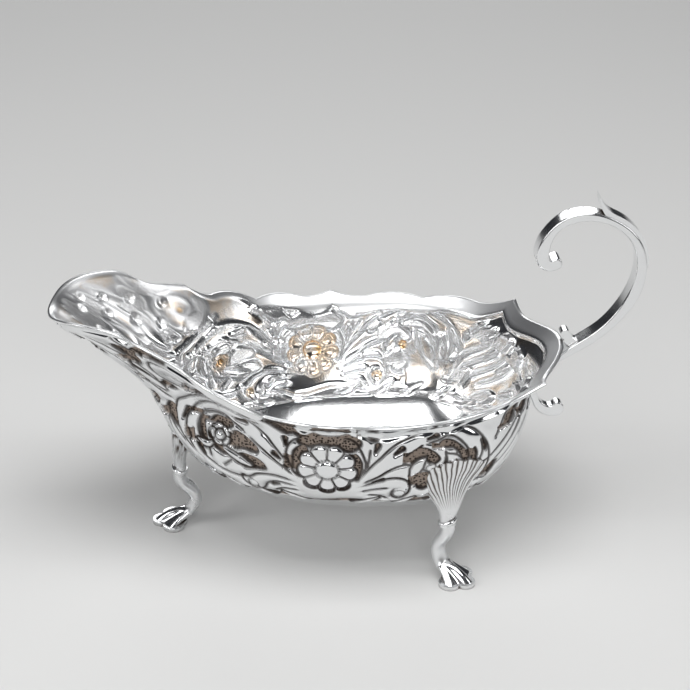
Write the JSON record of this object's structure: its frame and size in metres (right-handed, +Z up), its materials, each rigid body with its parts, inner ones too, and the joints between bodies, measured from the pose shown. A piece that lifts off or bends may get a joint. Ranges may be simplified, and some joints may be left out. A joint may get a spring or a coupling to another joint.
{
  "type": "sauce boat",
  "caption": "Silver sauce boat: chased oval bowl with a long pouring spout, cut and everted rim, flying scroll handle and scalloped cast legs on trefoil feet.",
  "frame": {"origin": "middle of the boat's box at the height of the table that its feet stand on", "axes": "+X from the spout towards the handle, +Y across the boat towards its far side, +Z up"},
  "size_m": [0.1786, 0.0904, 0.1115],
  "materials": {
    "raised_silver": "polished, with darkened recesses",
    "cast_silver": "polished"
  },
  "bodies": {
    "root": {"bowl": "raised_silver", "handle_scroll": "cast_silver", "handle_leaf": "cast_silver", "handle_support_scroll": "cast_silver", "handle_tail_scroll": "cast_silver", "front_knee": "cast_silver", "front_collar": "cast_silver", "front_shank": "cast_silver", "front_foot": "cast_silver", "rear_left_knee": "cast_silver", "rear_left_collar": "cast_silver", "rear_left_shank": "cast_silver", "rear_left_foot": "cast_silver", "rear_right_knee": "cast_silver", "rear_right_collar": "cast_silver", "rear_right_shank": "cast_silver", "rear_right_foot": "cast_silver"}
  },
  "joints": []
}
